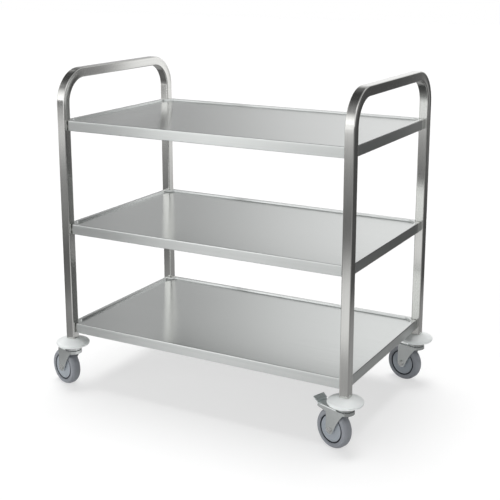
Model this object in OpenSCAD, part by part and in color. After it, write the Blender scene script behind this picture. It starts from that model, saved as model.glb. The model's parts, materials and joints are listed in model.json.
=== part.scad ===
// Three tier stainless steel serving trolley on four swivel casters.
// Millimetres, +Z up, long side along X, front along -Y. The origin lies on the
// floor, under the middle of the whole trolley's box.

/* [Frame] */
// Length over the outer faces of the two end frames
frame_l = 840; // [600:10:1200]
// Width over the outer faces of the legs
frame_w = 510; // [400:10:700]
// Height of the push handles above the floor
handle_h = 875; // [840:5:1100]
// Side of the square tube
tube = 25; // [22:1:32]
// Wall of the square tube
tube_wall = 1.2; // [1:0.1:2]
// Outer corner radius of the square tube
tube_r = 3; // [2:0.5:4]
// Outer radius of the bends that turn the legs into handles
bend_r = 90; // [60:5:120]

/* [Shelves] */
// Height of the bottom shelf's top edge above the floor
bottom_shelf_z = 186; // [180:1:260]
// Spacing of the shelves
shelf_pitch = 279; // [200:1:300]
// Setback of the shelf sides behind the legs' outer faces
shelf_setback = 9; // [7:0.5:11]
// Height of the shelf's outer flange
flange_h = 27; // [24:1:40]
// Thickness of the shelf sheet
sheet_t = 1; // [0.8:0.1:1.5]
// Width of the raised rim round the deck
rim_w = 8; // [6:0.5:12]
// Depth of the deck below the rim
deck_drop = 5; // [4:0.5:9]
// Rim left between a leg's notch and the deck's slanted corner
notch_rim = 5; // [3:0.5:10]
// Width of the hem turned in under the flange
hem_w = 11; // [6:1:14]

/* [Shelf fasteners] */
// Thread radius of the shelf bolts
shelf_bolt_r = 3; // [2.5:0.5:4]
// Length of a shelf bolt under its head
shelf_bolt_l = 14; // [12:1:18]
// Radius of a shelf bolt's head
shelf_head_r = 5; // [4.5:0.5:5.5]
// Height of a shelf bolt's head
shelf_head_h = 3.2; // [2.5:0.1:4]
// Outer radius of a washer
washer_r = 5.6; // [5.2:0.1:6.2]
// Thickness of a washer
washer_t = 1.2; // [0.8:0.1:1.6]
// Radius of a rivet nut's flange
rivet_flange_r = 6; // [5.5:0.1:6.5]
// Thickness of a rivet nut's flange, which spaces the shelf off the leg
rivet_flange_t = 1; // [0.8:0.1:1.5]
// Radius of a rivet nut's body
rivet_body_r = 4.4; // [4.1:0.1:4.8]
// Length of a rivet nut's body inside the leg
rivet_body_l = 12; // [10:1:15]
// Distance of the bolts from the shelf's long side
bolt_inset = 8; // [7.5:0.1:9]
// Distance of the bolts below the shelf's top edge
bolt_drop = 16; // [14:1:18]

/* [Bumpers] */
// Radius of a bumper disc
bumper_r = 45; // [38:1:55]
// Height of a bumper disc
bumper_h = 19; // [16:0.5:28]
// Radius of the rounded bumper edge
bumper_edge_r = 5.5; // [2:0.25:7]
// Radius of the flat on top that the leg stands on
bumper_top_r = 18.5; // [18:0.5:24]
// Height of the plug in the foot of each leg
plug_h = 14; // [12:1:17]

/* [Casters] */
// Radius of the wheels
wheel_r = 50; // [45:1:55]
// Width of the tyre
tyre_w = 27; // [22:1:29]
// Radius at which the tyre sits on the wheel
tyre_seat_r = 37; // [34:0.5:40]
// Radius of the crown across the tread
tread_crown_r = 19.5; // [17:0.5:26]
// Half width of the flat running band of the tread
tread_flat = 5.5; // [3:0.5:7]
// Radius of the wheel's side disc
disc_r = 32.5; // [28:0.5:33.5]
// Setback of the side disc behind the tyre's side
disc_inset = 1; // [0.5:0.1:2]
// Depth of the ring groove between side disc and tyre
groove_depth = 7; // [3:0.5:9]
// Radius of the wheel's hub bore bearing sleeve
sleeve_r = 6; // [5:0.5:7]
// Half length of the wheel hub
hub_half = 15; // [14.6:0.1:15.2]
// Radius of the axle bolt
axle_r = 4; // [3:0.5:4.5]
// Trail of the wheel behind the swivel axis
trail = 35; // [30:1:38]
// Sheet thickness of the fork
fork_t = 2.5; // [2:0.1:3]
// Gap between the fork's cheeks
fork_gap = 31; // [30.6:0.1:34]
// Outer bend radius along the top of the fork
fork_bend_r = 5; // [4:0.5:6]
// Room between the wheel and the fork's crown
crown_gap = 5.5; // [4.5:0.5:8]
// Radius of the round front of the crown
crown_r = 23; // [21.5:0.5:27]
// Height of the lip that hangs from the front of the crown
lip_h = 6; // [3:0.5:8]
// Radius of the cheek's round end about the axle
cheek_end_r = 12; // [11:0.5:14]
// Radius of the hollow sweep along the cheek's front edge
cheek_hollow_r = 180; // [130:10:400]
// Radius of the curve between the cheek's front edge and the lip
cheek_curve_r = 7; // [3:0.5:9]
// Swing of each wheel off the trolley's length at rest: front left
angle_fl = 17; // [0:1:30]
// The same, front right
angle_fr = 20; // [0:1:30]
// The same, back right
angle_br = 14; // [0:1:30]
// The same, back left
angle_bl = 16; // [0:1:30]

/* [Swivel heads] */
// Radius of the swivel head's upper race
race_r = 22; // [21:0.5:24]
// Thickness of the upper race
race_t = 6; // [5:0.5:7]
// Gap between the races
race_gap = 2; // [1.6:0.1:2.4]
// Radius of the bearing balls
ball_r = 2.4; // [2.1:0.1:2.5]
// Radius of the ring that the balls run on
ball_ring_r = 15; // [14:0.5:17]
// Number of balls in a swivel head
ball_count = 14; // [8:1:16]
// Radius of the stem bolt
stem_r = 6; // [5:0.5:6.5]
// Radius of the stem bolt's head under the crown
stem_head_r = 10; // [9:0.5:11]
// Height of the stem bolt's head
stem_head_h = 3; // [2:0.5:4]
// Width across the corners of the hex collar under the bumper
collar_d = 22; // [20:1:26]
// Height of the hex collar
collar_h = 7; // [3:0.5:9]

/* [Brakes] */
// Distance of the pedal's pivot behind the swivel axis
pivot_x = 52; // [50:0.5:54]
// Height of the pedal's pivot above the wheel's top
pivot_rise = 2.3; // [2:0.1:2.8]
// Radius of the pivot pin
pin_r = 2; // [1.5:0.25:2.25]
// Reach of the fork's horns behind the swivel axis
horn_reach = 76.5; // [72:0.5:77]
// Height of the rounded end of the horns
horn_end_h = 6.5; // [5:0.5:8]
// Rise of the horns' lower edge from the cheek to their end
horn_rise = 5; // [0:0.5:6]
// Reach of the pedal's tip behind the swivel axis
pedal_reach = 92; // [89:0.5:98]
// Width of the pedal's tread
pedal_w = 36; // [32:0.5:42]
// Thickness of the pedal's sheet
pedal_t = 1.5; // [1:0.1:1.6]
// Length of the ridged tread along its slope
tread_l = 14; // [11:0.5:14]
// Slope of the ridged tread at rest
tread_slope = 35; // [28:1:42]
// Height of the tread's nose above the wheel's top
nose_rise = 17; // [14:0.5:20]
// Number of ridges on the tread
ridge_count = 3; // [2:1:4]
// Radius of a tread ridge
ridge_r = 0.9; // [0.6:0.1:1.2]
// Angle that the pedal turns through to press its pad on the wheel
brake_angle = 25; // [15:1:25]
// Place of the pad on the wheel with the pedal pressed, leaning back from upright
pad_lean = 38; // [34:1:42]
// Thickness of the brake pad
pad_t = 3.5; // [2.5:0.1:4]
// Length of the brake pad along the wheel
pad_l = 9; // [6:0.5:10]
// Width of the brake pad
pad_w = 23; // [16:0.5:25]
// Length of the pivot pin that stands out of each horn
pin_end = 0.5; // [0.2:0.1:1]

/* [Clearances] */
// Gap left between parts that slide or thread together
fit = 0.05; // [0.02:0.01:0.1]
// Gap left between parts that must pass each other freely
free_gap = 0.3; // [0.2:0.05:0.5]

/* [Hidden] */
$fn = 64;

cut = 1;
wheel_top = 2 * wheel_r;
crown_z = wheel_top + crown_gap;
crown_top = crown_z + fork_t;
race_z = crown_top + race_gap;
collar_z = race_z + race_t;
bumper_z = collar_z + collar_h;
leg_z = bumper_z + bumper_h;
fork_half = fork_gap / 2 + fork_t;
leg_x = frame_l / 2 - tube / 2;
leg_y = frame_w / 2 - tube / 2;
shelf_l = frame_l - 2 * shelf_setback;
shelf_w = frame_w - 2 * shelf_setback;
notch = tube - shelf_setback + rivet_flange_t;
bolt_y = shelf_w / 2 - bolt_inset;
leg_face_x = frame_l / 2 - tube;
shelf_zs = [for (i = [0:2]) bottom_shelf_z + i * shelf_pitch];
corners = [for (sx = [-1, 1]) for (sy = [-1, 1]) [sx, sy]];
pedal_half = pedal_w / 2;
pivot = [pivot_x, wheel_top + pivot_rise];
cheek_rear = trail + cheek_end_r;

// The pedal of the back left caster reaches furthest left and the right bumpers
// reach furthest right, so the frame stands off the box's middle by half of what
// they differ.
frame_x = (pedal_reach * cos(angle_bl) + pedal_half * sin(angle_bl) - bumper_r) / 2;

// Caster places: side along X, side along Y, turn of the trail about Z
front_left = [-1, -1, 180 - angle_fl];
front_right = [1, -1, 180 - angle_fr];
back_right = [1, 1, 180 - angle_br];
back_left = [-1, 1, 180 - angle_bl];

module rounded_square(side, r) {
    square([side, side - 2 * r], center = true);
    square([side - 2 * r, side], center = true);
    for (c = corners) {
        translate([c[0] * (side / 2 - r), c[1] * (side / 2 - r)]) circle(r);
    }
}

module tube_section() {
    difference() {
        rounded_square(tube, tube_r);
        rounded_square(tube - 2 * tube_wall, tube_r - tube_wall);
    }
}

// One U shaped end frame, standing in the YZ plane through the origin
module end_frame(side) {
    straight_top = handle_h - bend_r;
    difference() {
        union() {
            for (sy = [-1, 1]) {
                translate([0, sy * leg_y, leg_z]) {
                    linear_extrude(straight_top - leg_z) tube_section();
                }
                translate([0, sy * (frame_w / 2 - bend_r), straight_top]) {
                    rotate([90, 0, sy > 0 ? 90 : -90]) {
                        rotate_extrude(angle = 90) {
                            translate([bend_r - tube / 2, 0]) tube_section();
                        }
                    }
                }
            }
            translate([0, frame_w / 2 - bend_r, handle_h - tube / 2]) {
                rotate([90, 0, 0]) linear_extrude(frame_w - 2 * bend_r) tube_section();
            }
        }
        for (z = shelf_zs) {
            for (sy = [-1, 1]) {
                translate([-side * tube / 2, sy * bolt_y, z - bolt_drop]) {
                    rotate([0, 90, 0]) cylinder(r = rivet_body_r + fit, h = 4 * tube_wall, center = true);
                }
            }
        }
    }
}

module left_end_frame() {
    color("silver") translate([frame_x - leg_x, 0, 0]) end_frame(-1);
}

module right_end_frame() {
    color("silver") translate([frame_x + leg_x, 0, 0]) end_frame(1);
}

// Outline of the shelf with its four leg notches, drawn in by a margin
module shelf_outline(margin) {
    difference() {
        square([shelf_l - 2 * margin, shelf_w - 2 * margin], center = true);
        for (c = corners) {
            translate([c[0] * shelf_l / 2, c[1] * shelf_w / 2]) {
                square(2 * (notch + margin), center = true);
            }
        }
    }
}

// Outline of the sunk deck, with its corners cut across in front of the notches
module deck_outline(grow) {
    slant = 2 * notch + (notch_rim - grow) * sqrt(2);
    difference() {
        square([shelf_l - 2 * (rim_w - grow), shelf_w - 2 * (rim_w - grow)], center = true);
        for (c = corners) {
            translate([c[0] * shelf_l / 2, c[1] * shelf_w / 2]) {
                rotate(45) square(slant * sqrt(2), center = true);
            }
        }
    }
}

module shelf(z) {
    translate([frame_x, 0, z]) difference() {
        union() {
            translate([0, 0, -sheet_t]) linear_extrude(sheet_t) difference() {
                shelf_outline(0);
                deck_outline(0);
            }
            translate([0, 0, -deck_drop - sheet_t]) linear_extrude(deck_drop + sheet_t) difference() {
                deck_outline(sheet_t);
                deck_outline(0);
            }
            translate([0, 0, -deck_drop - sheet_t]) linear_extrude(sheet_t) deck_outline(sheet_t);
            translate([0, 0, -flange_h]) linear_extrude(flange_h) difference() {
                shelf_outline(0);
                shelf_outline(sheet_t);
            }
            translate([0, 0, -flange_h]) linear_extrude(sheet_t) difference() {
                shelf_outline(0);
                square([shelf_l - 2 * hem_w, shelf_w - 2 * hem_w], center = true);
            }
        }
        for (c = corners) {
            translate([c[0] * (shelf_l / 2 - notch), c[1] * bolt_y, -bolt_drop]) {
                rotate([0, 90, 0]) cylinder(r = shelf_bolt_r + fit, h = 4 * sheet_t, center = true);
            }
        }
    }
}

module top_shelf() {
    color("silver") shelf(shelf_zs[2]);
}

module middle_shelf() {
    color("silver") shelf(shelf_zs[1]);
}

module bottom_shelf() {
    color("silver") shelf(shelf_zs[0]);
}

// Puts a shelf fastener at each leg, with +Z pointing out through the leg's face
module at_shelf_bolts() {
    for (z = shelf_zs) {
        for (c = corners) {
            translate([frame_x + c[0] * leg_face_x, c[1] * bolt_y, z - bolt_drop]) {
                rotate([0, c[0] * 90, 0]) children();
            }
        }
    }
}

module shelf_bolts() {
    washer_top = rivet_flange_t + sheet_t + washer_t;
    color("gainsboro") at_shelf_bolts() translate([0, 0, -washer_top]) {
        cylinder(r = shelf_bolt_r, h = shelf_bolt_l);
        translate([0, 0, -shelf_head_h]) cylinder(r = shelf_head_r, h = shelf_head_h);
    }
}

module shelf_washers() {
    color("gainsboro") at_shelf_bolts() {
        translate([0, 0, -rivet_flange_t - sheet_t - washer_t]) difference() {
            cylinder(r = washer_r, h = washer_t);
            translate([0, 0, -cut]) cylinder(r = shelf_bolt_r + fit, h = washer_t + 2 * cut);
        }
    }
}

module rivet_nuts() {
    color("gainsboro") at_shelf_bolts() difference() {
        union() {
            translate([0, 0, -rivet_flange_t]) cylinder(r = rivet_flange_r, h = rivet_flange_t);
            cylinder(r = rivet_body_r, h = rivet_body_l);
        }
        translate([0, 0, -rivet_flange_t - cut]) {
            cylinder(r = shelf_bolt_r + fit, h = rivet_flange_t + rivet_body_l + 2 * cut);
        }
    }
}

// Puts children under a leg, unturned
module under_leg(place) {
    translate([frame_x + place[0] * leg_x, place[1] * leg_y, 0]) children();
}

// Puts children under a leg with +X along the wheel's trail and +Y along its axle
module at_caster(place) {
    under_leg(place) rotate(place[2]) children();
}

module leg_plugs() {
    side = tube - 2 * tube_wall - 2 * fit;
    color("dimgray") for (place = [front_left, front_right, back_right, back_left]) {
        under_leg(place) translate([0, 0, leg_z]) linear_extrude(plug_h) difference() {
            rounded_square(side, tube_r - tube_wall);
            circle(stem_r + fit);
        }
    }
}

module stem_bolts() {
    head_z = crown_z - free_gap - stem_head_h;
    color("gainsboro") for (place = [front_left, front_right, back_right, back_left]) {
        under_leg(place) {
            translate([0, 0, head_z]) cylinder(r = stem_head_r, h = stem_head_h);
            translate([0, 0, head_z]) cylinder(r = stem_r, h = leg_z + plug_h - head_z);
            translate([0, 0, collar_z]) cylinder(d = collar_d, h = collar_h, $fn = 6);
        }
    }
}

// A bumper's section: a flat base, a rounded edge and a domed top
module bumper_section() {
    shoulder_r = bumper_r - bumper_edge_r;
    shoulder_z = 2 * bumper_edge_r;
    rise = bumper_h - shoulder_z;
    spread = pow(shoulder_r, 2) - pow(bumper_top_r, 2);
    dome_z = (bumper_h + shoulder_z - spread / rise) / 2;
    dome_r = sqrt(pow(bumper_top_r, 2) + pow(bumper_h - dome_z, 2));
    difference() {
        union() {
            square([shoulder_r, shoulder_z]);
            translate([shoulder_r, bumper_edge_r]) circle(bumper_edge_r);
            intersection() {
                translate([0, dome_z]) circle(dome_r);
                translate([0, shoulder_z]) square([shoulder_r, rise]);
            }
        }
        translate([-cut, -cut]) square([stem_r + fit + cut, bumper_h + 2 * cut]);
    }
}

module bumper(place) {
    color("whitesmoke") under_leg(place) translate([0, 0, bumper_z]) rotate_extrude() bumper_section();
}

module front_left_bumper() {
    bumper(front_left);
}

module front_right_bumper() {
    bumper(front_right);
}

module back_right_bumper() {
    bumper(back_right);
}

module back_left_bumper() {
    bumper(back_left);
}

// The groove that the balls run in, centred between the two races
module ball_groove() {
    translate([0, 0, crown_top + race_gap / 2]) {
        rotate_extrude() translate([ball_ring_r, 0]) circle(ball_r + fit);
    }
}

module upper_race(place) {
    color("gainsboro") at_caster(place) difference() {
        translate([0, 0, race_z]) cylinder(r = race_r, h = race_t);
        translate([0, 0, race_z - cut]) cylinder(r = stem_r + fit, h = race_t + 2 * cut);
        ball_groove();
    }
}

module front_left_race() {
    upper_race(front_left);
}

module front_right_race() {
    upper_race(front_right);
}

module back_right_race() {
    upper_race(back_right);
}

module back_left_race() {
    upper_race(back_left);
}

module ball_set(place) {
    color("gray") at_caster(place) for (i = [0:ball_count - 1]) {
        rotate(i * 360 / ball_count) {
            translate([ball_ring_r, 0, crown_top + race_gap / 2]) sphere(ball_r);
        }
    }
}

module front_left_balls() {
    ball_set(front_left);
}

module front_right_balls() {
    ball_set(front_right);
}

module back_right_balls() {
    ball_set(back_right);
}

module back_left_balls() {
    ball_set(back_left);
}

// Turns an outline drawn in X and Z into a slab centred on the XZ plane
module side_slab(width) {
    rotate([90, 0, 0]) linear_extrude(width, center = true) children();
}

// Side view of the fork: the crown above and the cheek down to the axle, hollow in front
module cheek_outline() {
    axle = [trail, wheel_r];
    foot = [-0.38 * crown_r, crown_z - lip_h];
    reach = norm(foot - axle);
    far = cheek_hollow_r + cheek_end_r;
    slant = atan2(foot[1] - axle[1], foot[0] - axle[0]);
    turn = acos((pow(reach, 2) + pow(far, 2) - pow(cheek_hollow_r, 2)) / (2 * reach * far));
    toward = [cos(slant + turn), sin(slant + turn)];
    hollow = axle + far * toward;
    translate(axle) circle(cheek_end_r);
    difference() {
        polygon([
            axle,
            [cheek_rear, wheel_r],
            [cheek_rear, crown_top],
            [foot[0], crown_top],
            foot,
            axle + cheek_end_r * toward
        ]);
        translate(hollow) circle(cheek_hollow_r);
    }
    translate([-crown_r, foot[1]]) square([crown_r + foot[0] + cut, crown_top - foot[1]]);
    front_curve(foot, hollow);
}

// Fills the corner where the cheek's hollow front edge meets the lip
module front_curve(foot, hollow) {
    z = foot[1] - cheek_curve_r;
    x = hollow[0] + sqrt(pow(cheek_hollow_r - cheek_curve_r, 2) - pow(z - hollow[1], 2));
    touch = hollow + cheek_hollow_r * ([x, z] - hollow) / norm([x, z] - hollow);
    difference() {
        polygon([
            foot + [cut, cut],
            [x, foot[1] + cut],
            [x, foot[1]],
            touch,
            touch + [cut, 0]
        ]);
        translate([x, z]) circle(cheek_curve_r);
    }
}

// The horns behind the cheeks, which hold the brake pedal between them
module horn_outline() {
    end_r = horn_end_h / 2;
    root_z = crown_z - 13;
    end_z = root_z + horn_rise + end_r;
    translate([horn_reach - end_r, end_z]) circle(end_r);
    polygon([
        [cheek_rear - cut, crown_top],
        [cheek_rear - cut, root_z],
        [cheek_rear, root_z],
        [horn_reach - end_r, end_z - end_r],
        [horn_reach - end_r, end_z + end_r],
        [pivot_x + 2 * pin_r, crown_top]
    ]);
}

// Section across the fork: two cheeks bent down from the crown
module fork_section(height) {
    inner_r = fork_bend_r - fork_t;
    difference() {
        union() {
            translate([-fork_half, 0]) square([2 * fork_half, height - fork_bend_r]);
            translate([-fork_half + fork_bend_r, 0]) square([2 * (fork_half - fork_bend_r), height]);
            for (side = [-1, 1]) {
                translate([side * (fork_half - fork_bend_r), height - fork_bend_r]) circle(fork_bend_r);
            }
        }
        translate([-fork_gap / 2, -cut]) square([fork_gap, height - fork_bend_r + cut]);
        translate([-fork_gap / 2 + inner_r, -cut]) square([fork_gap - 2 * inner_r, height - fork_t + cut]);
        for (side = [-1, 1]) {
            translate([side * (fork_gap / 2 - inner_r), height - fork_bend_r]) circle(inner_r);
        }
    }
}

// Plan of the fork: a round front about the swivel axis and straight sides behind
module fork_plan() {
    circle(crown_r);
    translate([0, -crown_r]) square([pedal_reach, 2 * crown_r]);
}

module fork_shell(braked) {
    intersection() {
        side_slab(4 * fork_half) {
            cheek_outline();
            if (braked) horn_outline();
        }
        translate([-crown_r, 0, 0]) {
            rotate([90, 0, 90]) linear_extrude(crown_r + pedal_reach) fork_section(crown_top);
        }
        linear_extrude(2 * crown_top) fork_plan();
    }
    translate([0, 0, crown_z - lip_h]) linear_extrude(lip_h + fork_t / 2) intersection() {
        difference() {
            circle(crown_r);
            circle(crown_r - fork_t);
        }
        translate([-crown_r, -fork_half]) square([crown_r, 2 * fork_half]);
    }
    translate([0, 0, crown_z]) cylinder(r = crown_r, h = fork_t);
}

module fork(place, braked) {
    color("lightgray") at_caster(place) difference() {
        fork_shell(braked);
        translate([0, 0, crown_z - cut]) cylinder(r = stem_r + fit, h = fork_t + 2 * cut);
        ball_groove();
        translate([trail, 0, wheel_r]) {
            rotate([90, 0, 0]) cylinder(r = axle_r + fit, h = 4 * fork_half, center = true);
        }
        if (braked) {
            translate([pedal_front - free_gap, -fork_gap / 2, 0]) {
                cube([pedal_reach, fork_gap, crown_top + cut]);
            }
            translate([pivot_x, 0, pivot[1]]) {
                rotate([90, 0, 0]) cylinder(r = pin_r + fit, h = 4 * fork_half, center = true);
            }
        }
    }
}

module front_left_fork() {
    fork(front_left, false);
}

module front_right_fork() {
    fork(front_right, true);
}

module back_right_fork() {
    fork(back_right, false);
}

module back_left_fork() {
    fork(back_left, true);
}

// Puts children on the axle, with +Z along it towards the bolt's head
module on_axle(place) {
    at_caster(place) translate([trail, 0, wheel_r]) rotate([-90, 0, 0]) children();
}

axle_head_r = axle_r * 1.85;
axle_head_h = axle_r * 1.2;
axle_nut_h = axle_r * 1.6;
axle_end = 2;

module axle_bolt(place) {
    shank = fork_half + axle_nut_h + axle_end;
    color("gainsboro") on_axle(place) {
        translate([0, 0, -shank]) cylinder(r = axle_r, h = shank + fork_half);
        translate([0, 0, fork_half]) cylinder(r = axle_head_r, h = axle_head_h, $fn = 6);
    }
}

module front_left_axle() {
    axle_bolt(front_left);
}

module front_right_axle() {
    axle_bolt(front_right);
}

module back_right_axle() {
    axle_bolt(back_right);
}

module back_left_axle() {
    axle_bolt(back_left);
}

module axle_nut(place) {
    color("gainsboro") on_axle(place) translate([0, 0, -fork_half - axle_nut_h]) difference() {
        cylinder(r = axle_head_r, h = axle_nut_h, $fn = 6);
        translate([0, 0, -cut]) cylinder(r = axle_r + fit, h = axle_nut_h + 2 * cut);
    }
}

module front_left_nut() {
    axle_nut(front_left);
}

module front_right_nut() {
    axle_nut(front_right);
}

module back_right_nut() {
    axle_nut(back_right);
}

module back_left_nut() {
    axle_nut(back_left);
}

module axle_sleeve(place) {
    color("gray") on_axle(place) difference() {
        cylinder(r = sleeve_r, h = fork_gap, center = true);
        cylinder(r = axle_r + fit, h = fork_gap + 2 * cut, center = true);
    }
}

module front_left_sleeve() {
    axle_sleeve(front_left);
}

module front_right_sleeve() {
    axle_sleeve(front_right);
}

module back_right_sleeve() {
    axle_sleeve(back_right);
}

module back_left_sleeve() {
    axle_sleeve(back_left);
}

// Half section of the wheel: hub, side disc, ring groove and the rim under the tyre
module wheel_section() {
    bore_r = sleeve_r + fit;
    rim_r = tyre_seat_r - fit;
    disc_half = tyre_w / 2 - disc_inset;
    difference() {
        union() {
            translate([bore_r, -hub_half]) square([2 * sleeve_r - bore_r, 2 * hub_half]);
            translate([bore_r, -disc_half]) square([rim_r - bore_r, 2 * disc_half]);
        }
        for (side = [-1, 1]) {
            translate([disc_r, side > 0 ? disc_half - groove_depth : -disc_half - cut]) {
                square([rim_r - disc_r + cut, groove_depth + cut]);
            }
        }
    }
}

module wheel_core(place) {
    color("slategray") on_axle(place) rotate_extrude() wheel_section();
}

module front_left_wheel() {
    wheel_core(front_left);
}

module front_right_wheel() {
    wheel_core(front_right);
}

module back_right_wheel() {
    wheel_core(back_right);
}

module back_left_wheel() {
    wheel_core(back_left);
}

// Half section of the tyre: flat running band and rounded shoulders
module tyre_section() {
    crown_x = wheel_r - sqrt(pow(tread_crown_r, 2) - pow(tread_flat, 2));
    intersection() {
        translate([tyre_seat_r, -tyre_w / 2]) square([wheel_r - tyre_seat_r, tyre_w]);
        translate([crown_x, 0]) circle(tread_crown_r);
    }
}

module tyre(place) {
    color("gray") on_axle(place) rotate_extrude() tyre_section();
}

module front_left_tyre() {
    tyre(front_left);
}

module front_right_tyre() {
    tyre(front_right);
}

module back_right_tyre() {
    tyre(back_right);
}

module back_left_tyre() {
    tyre(back_left);
}

// Pedal geometry in the caster's X and Z, at rest
hub_r = pin_r + 2;
pedal_front = pivot_x - hub_r;
plate_top = crown_top - fork_t / 2;
along_tread = [cos(tread_slope), sin(tread_slope)];
up_tread = [-sin(tread_slope), cos(tread_slope)];
nose = [pedal_reach, wheel_top + nose_rise];
tread_low = nose + pedal_t * up_tread - tread_l * along_tread;
riser_x = tread_low[0];
// Where the pad's face meets the wheel with the pedal pressed, and that spot at rest
pressed = [trail, wheel_r] + (wheel_r + free_gap) * [sin(pad_lean), cos(pad_lean)] - pivot;
pad_face = pivot + [
    pressed[0] * cos(brake_angle) - pressed[1] * sin(brake_angle),
    pressed[0] * sin(brake_angle) + pressed[1] * cos(brake_angle)
];
pad_turn = brake_angle - pad_lean;

// Flat top of the pedal between the horns, and the riser up to the tread
module pedal_top_outline() {
    translate([pedal_front, plate_top - pedal_t]) square([riser_x - pedal_front, pedal_t]);
    translate([riser_x - pedal_t, plate_top - pedal_t]) {
        square([pedal_t, tread_low[1] - plate_top + pedal_t]);
    }
}

// Side cheek of the pedal, from the pivot back to the riser
module pedal_side_outline() {
    translate(pivot) circle(hub_r);
    polygon([
        [pedal_front, plate_top],
        [pedal_front, pivot[1]],
        pivot - [0, hub_r],
        [riser_x, plate_top - hub_r],
        [riser_x, plate_top]
    ]);
}

// The sloping tread with ridges across it
module tread_outline() {
    polygon([
        nose,
        nose + pedal_t * up_tread,
        tread_low,
        tread_low - [pedal_t, 0],
        tread_low - [pedal_t, pedal_t],
        nose - (tread_l - pedal_t) * along_tread
    ]);
    for (i = [0:ridge_count - 1]) {
        translate(tread_low + (i + 0.5) / ridge_count * tread_l * along_tread) circle(ridge_r);
    }
}

// The block under the pedal's flat top that carries the brake pad
module pad_seat_outline() {
    polygon([
        pad_corner(-1),
        pad_corner(1),
        [pad_corner(1)[0], plate_top - pedal_t / 2],
        [pad_corner(-1)[0], plate_top - pedal_t / 2]
    ]);
}

// Corner of the pad's back face, towards the pivot for side -1 and away for side 1
function pad_corner(side) = pad_face
    + pad_t * [-sin(pad_turn), cos(pad_turn)]
    + side * pad_l / 2 * [cos(pad_turn), sin(pad_turn)];

module pad_outline() {
    translate(pad_face) rotate(pad_turn) translate([-pad_l / 2, 0]) square([pad_l, pad_t]);
}

module pedal(place) {
    inner_w = fork_gap - 2 * free_gap;
    color("lightgray") at_caster(place) difference() {
        union() {
            side_slab(pedal_w) tread_outline();
            side_slab(inner_w) pedal_top_outline();
            side_slab(pad_w) pad_seat_outline();
            for (side = [-1, 1]) {
                translate([0, side * (inner_w - pedal_t) / 2, 0]) side_slab(pedal_t) pedal_side_outline();
            }
        }
        translate([pivot_x, 0, pivot[1]]) {
            rotate([90, 0, 0]) cylinder(r = pin_r + fit, h = 2 * pedal_w, center = true);
        }
    }
}

module front_right_pedal() {
    pedal(front_right);
}

module back_left_pedal() {
    pedal(back_left);
}

module brake_pad(place) {
    color("dimgray") at_caster(place) side_slab(pad_w) pad_outline();
}

module front_right_pad() {
    brake_pad(front_right);
}

module back_left_pad() {
    brake_pad(back_left);
}

module pivot_pin(place) {
    color("gainsboro") at_caster(place) translate([pivot_x, 0, pivot[1]]) rotate([90, 0, 0]) {
        cylinder(r = pin_r, h = 2 * (fork_half + pin_end), center = true);
    }
}

module front_right_pin() {
    pivot_pin(front_right);
}

module back_left_pin() {
    pivot_pin(back_left);
}

left_end_frame();
right_end_frame();
top_shelf();
middle_shelf();
bottom_shelf();
shelf_bolts();
shelf_washers();
rivet_nuts();
leg_plugs();
stem_bolts();
front_left_bumper();
front_right_bumper();
back_right_bumper();
back_left_bumper();
front_left_race();
front_right_race();
back_right_race();
back_left_race();
front_left_balls();
front_right_balls();
back_right_balls();
back_left_balls();
front_left_fork();
front_right_fork();
back_right_fork();
back_left_fork();
front_left_axle();
front_right_axle();
back_right_axle();
back_left_axle();
front_left_nut();
front_right_nut();
back_right_nut();
back_left_nut();
front_left_sleeve();
front_right_sleeve();
back_right_sleeve();
back_left_sleeve();
front_left_wheel();
front_right_wheel();
back_right_wheel();
back_left_wheel();
front_left_tyre();
front_right_tyre();
back_right_tyre();
back_left_tyre();
front_right_pedal();
back_left_pedal();
front_right_pad();
back_left_pad();
front_right_pin();
back_left_pin();
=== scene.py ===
import json
import math

import bmesh
import bpy
from mathutils import Matrix, Vector


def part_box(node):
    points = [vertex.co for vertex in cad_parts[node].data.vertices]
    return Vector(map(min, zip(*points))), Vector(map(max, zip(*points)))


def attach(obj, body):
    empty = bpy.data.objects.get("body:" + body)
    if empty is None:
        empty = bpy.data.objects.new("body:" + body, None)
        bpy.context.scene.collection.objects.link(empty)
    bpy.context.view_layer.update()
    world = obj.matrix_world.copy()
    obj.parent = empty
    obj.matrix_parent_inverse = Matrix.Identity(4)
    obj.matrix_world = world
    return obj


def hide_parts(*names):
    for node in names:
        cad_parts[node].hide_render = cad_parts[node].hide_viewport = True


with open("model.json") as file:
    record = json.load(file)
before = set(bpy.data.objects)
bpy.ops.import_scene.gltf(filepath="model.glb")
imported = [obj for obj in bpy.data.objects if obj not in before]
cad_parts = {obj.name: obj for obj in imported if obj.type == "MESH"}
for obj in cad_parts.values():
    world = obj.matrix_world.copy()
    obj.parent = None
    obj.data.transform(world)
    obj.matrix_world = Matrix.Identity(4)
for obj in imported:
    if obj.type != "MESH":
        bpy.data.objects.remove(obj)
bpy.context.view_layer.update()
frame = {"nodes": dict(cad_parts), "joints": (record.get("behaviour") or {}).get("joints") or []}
scene = bpy.context.scene
nodes = frame["nodes"]
joints = {joint["name"]: joint for joint in frame["joints"]}
corners = ["front_left", "front_right", "back_right", "back_left"]
brakedCorners = [corner for corner in corners if f"{corner}_brake" in joints]
shelves = ["top_shelf", "middle_shelf", "bottom_shelf"]
print("frame loaded,", len(nodes), "nodes")


# Shader helpers

def addNode(tree, kind, place, **values):
    node = tree.nodes.new(kind)
    node.location = place
    for name, value in values.items():
        setattr(node, name, value)
    return node


def newGroup(name, inputs, outputs):
    group = bpy.data.node_groups.new(name, "ShaderNodeTree")
    for label, kind, value in inputs:
        socket = group.interface.new_socket(label, in_out="INPUT", socket_type=kind)
        if value is not None:
            socket.default_value = value
    for label, kind in outputs:
        group.interface.new_socket(label, in_out="OUTPUT", socket_type=kind)
    return group, addNode(group, "NodeGroupInput", (-900, 0)), addNode(group, "NodeGroupOutput", (700, 0))


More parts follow.
